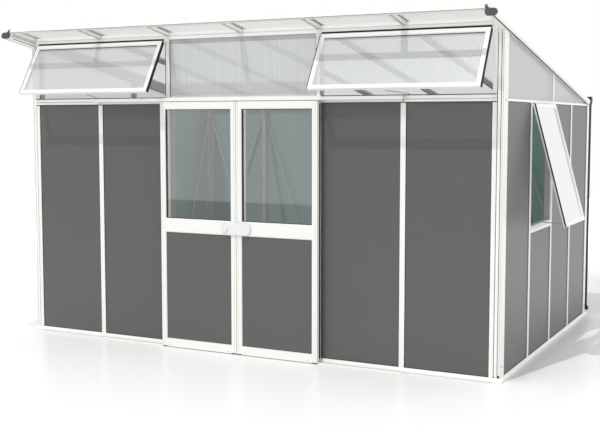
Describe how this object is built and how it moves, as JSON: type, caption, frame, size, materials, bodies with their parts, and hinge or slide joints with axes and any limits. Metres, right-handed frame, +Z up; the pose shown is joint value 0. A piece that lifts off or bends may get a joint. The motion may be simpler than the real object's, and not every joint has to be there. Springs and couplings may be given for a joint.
{
  "type": "garden shed",
  "caption": "Single-pitch garden shed with dark panel walls in white posts, twin sliding doors, open top-hung vents and side window, twin-wall roof and rear gutter.",
  "frame": {"origin": "middle of the front base rail's underside, below the doorway, in the plane of the front posts' outer faces", "axes": "+X along the front to the right as seen from the front, +Y to the back, +Z up"},
  "size_m": [4.9124, 3.5682, 2.859],
  "materials": {
    "white_frame": "satin white powder coat",
    "dark_panel": "matt dark grey sandwich panel",
    "twin_wall": "translucent twin-wall sheet with fine flutes",
    "pane": "clear glass",
    "seal": "matt black rubber",
    "cap_grey": "matt dark grey plastic",
    "gutter_black": "matt black plastic",
    "bare_metal": "plain mill finish",
    "white_lock": "smooth white"
  },
  "bodies": {
    "shed": {"cross_base_rails": "white_frame", "side_base_rails": "white_frame", "bottom_track": "white_frame", "top_track": "white_frame", "corner_posts": "white_frame", "front_posts": "white_frame", "back_posts": "white_frame", "side_posts": "white_frame", "front_mid_rail": "white_frame", "front_head_beam": "white_frame", "back_top_rail": "white_frame", "side_mid_rails": "white_frame", "front_panels": "dark_panel", "back_panels": "dark_panel", "side_panels": "dark_panel", "window_sill": "white_frame", "sash_frame": "white_frame", "sash_glass": "pane", "vent_side_bars": "white_frame", "vent_cross_bars": "white_frame", "vent_sheets": "twin_wall", "opening_seals": "seal", "stay_bars": "bare_metal", "infill_sheets": "twin_wall", "rafters": "white_frame", "side_beams": "white_frame", "roof_sheets": "twin_wall", "glazing_caps": "white_frame", "front_fascia": "white_frame", "fascia_end_caps": "cap_grey", "gutter": "gutter_black", "downpipe": "gutter_black", "wall_braces": "bare_metal"},
    "left_door": {"left_door_stiles": "white_frame", "left_door_rails": "white_frame", "left_door_panel": "dark_panel", "left_door_glass": "pane", "left_door_runners": "bare_metal", "lock_plate": "white_lock", "lock_knob": "white_lock"},
    "right_door": {"right_door_stiles": "white_frame", "right_door_rails": "white_frame", "right_door_panel": "dark_panel", "right_door_glass": "pane", "right_door_runners": "bare_metal"}
  },
  "joints": [
    {"name": "left_door_slide", "type": "slide", "parent": "shed", "child": "left_door", "axis": [-1, 0, 0], "range_m": [0, 0.7]},
    {"name": "right_door_slide", "type": "slide", "parent": "shed", "child": "right_door", "axis": [1, 0, 0], "range_m": [0, 0.7]}
  ]
}
